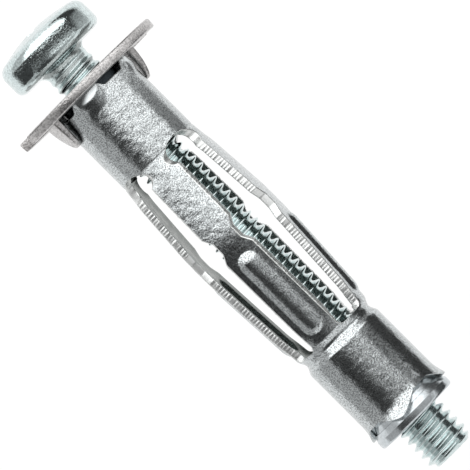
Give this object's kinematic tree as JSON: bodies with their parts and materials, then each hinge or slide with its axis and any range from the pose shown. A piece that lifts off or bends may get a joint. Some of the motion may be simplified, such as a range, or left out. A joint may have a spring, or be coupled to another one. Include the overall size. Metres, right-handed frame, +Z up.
{
  "type": "hollow-wall anchor",
  "caption": "Zinc-plated hollow-wall anchor: slotted sleeve with folding legs, pronged flange, captive end nut and pan-head machine screw that draws the legs out behind a thin board.",
  "frame": {"origin": "centre of the flange's back face, where it meets the wall, on the screw's axis", "axes": "+Y along the screw's axis into the wall, from head to tip; +Z up; legs at +X, -X, +Z and -Z, prongs 27.5 degrees from +X towards +Z, and opposite"},
  "size_m": [0.013, 0.043, 0.013],
  "materials": {
    "zinc_sleeve": "bright zinc plating on cold-formed sheet, grainy",
    "zinc_flange": "zinc plating on a stamped plate, satin",
    "zinc_nut": "bright zinc plating on a turned nut",
    "zinc_screw": "bright bluish zinc plating on a rolled screw"
  },
  "bodies": {
    "collar": {"flange_plate": "zinc_flange", "collar_barrel": "zinc_sleeve"},
    "screw": {"screw": "zinc_screw"},
    "upper_leg_1": {"upper_leg_1": "zinc_sleeve"},
    "lower_leg_1": {"lower_leg_1": "zinc_sleeve"},
    "upper_leg_2": {"upper_leg_2": "zinc_sleeve"},
    "lower_leg_2": {"lower_leg_2": "zinc_sleeve"},
    "upper_leg_3": {"upper_leg_3": "zinc_sleeve"},
    "lower_leg_3": {"lower_leg_3": "zinc_sleeve"},
    "upper_leg_4": {"upper_leg_4": "zinc_sleeve"},
    "lower_leg_4": {"lower_leg_4": "zinc_sleeve"},
    "nut_end": {"end_barrel": "zinc_sleeve", "nut": "zinc_nut"}
  },
  "joints": [
    {"name": "screw_turn", "type": "hinge", "parent": "collar", "child": "screw", "pos_m": [0, 0, 0], "axis": [0, 1, 0], "range_deg": [0, 3780]},
    {"name": "upper_fold_1", "type": "hinge", "parent": "collar", "child": "upper_leg_1", "pos_m": [0.0034, 0.00685, 0], "axis": [0, 0, -1], "range_deg": [0, 65.5]},
    {"name": "knee_1", "type": "hinge", "parent": "upper_leg_1", "child": "lower_leg_1", "pos_m": [0.00324, 0.0146, 0], "axis": [0, 0, -1], "range_deg": [-112.5, 0]},
    {"name": "upper_fold_2", "type": "hinge", "parent": "collar", "child": "upper_leg_2", "pos_m": [0, 0.00685, -0.0034], "axis": [-1, 0, 0], "range_deg": [0, 65.5]},
    {"name": "knee_2", "type": "hinge", "parent": "upper_leg_2", "child": "lower_leg_2", "pos_m": [0, 0.0146, -0.00324], "axis": [-1, 0, 0], "range_deg": [-112.5, 0]},
    {"name": "upper_fold_3", "type": "hinge", "parent": "collar", "child": "upper_leg_3", "pos_m": [-0.0034, 0.00685, 0], "axis": [0, 0, 1], "range_deg": [0, 65.5]},
    {"name": "knee_3", "type": "hinge", "parent": "upper_leg_3", "child": "lower_leg_3", "pos_m": [-0.00324, 0.0146, 0], "axis": [0, 0, 1], "range_deg": [-112.5, 0]},
    {"name": "upper_fold_4", "type": "hinge", "parent": "collar", "child": "upper_leg_4", "pos_m": [0, 0.00685, 0.0034], "axis": [1, 0, 0], "range_deg": [0, 65.5]},
    {"name": "knee_4", "type": "hinge", "parent": "upper_leg_4", "child": "lower_leg_4", "pos_m": [0, 0.0146, 0.00324], "axis": [1, 0, 0], "range_deg": [-112.5, 0]},
    {"name": "end_fold_1", "type": "hinge", "parent": "lower_leg_1", "child": "nut_end", "pos_m": [0.0034, 0.0246, 0], "axis": [0, 0, -1], "range_deg": [0, 47.5]}
  ],
  "couplings": [
    {"joint": "upper_fold_1", "follows": "screw_turn", "ratio": 0.017196},
    {"joint": "knee_1", "follows": "screw_turn", "ratio": -0.029551},
    {"joint": "upper_fold_2", "follows": "screw_turn", "ratio": 0.017196},
    {"joint": "knee_2", "follows": "screw_turn", "ratio": -0.029551},
    {"joint": "upper_fold_3", "follows": "screw_turn", "ratio": 0.017196},
    {"joint": "knee_3", "follows": "screw_turn", "ratio": -0.029551},
    {"joint": "upper_fold_4", "follows": "screw_turn", "ratio": 0.017196},
    {"joint": "knee_4", "follows": "screw_turn", "ratio": -0.029551},
    {"joint": "end_fold_1", "follows": "screw_turn", "ratio": 0.012355}
  ]
}
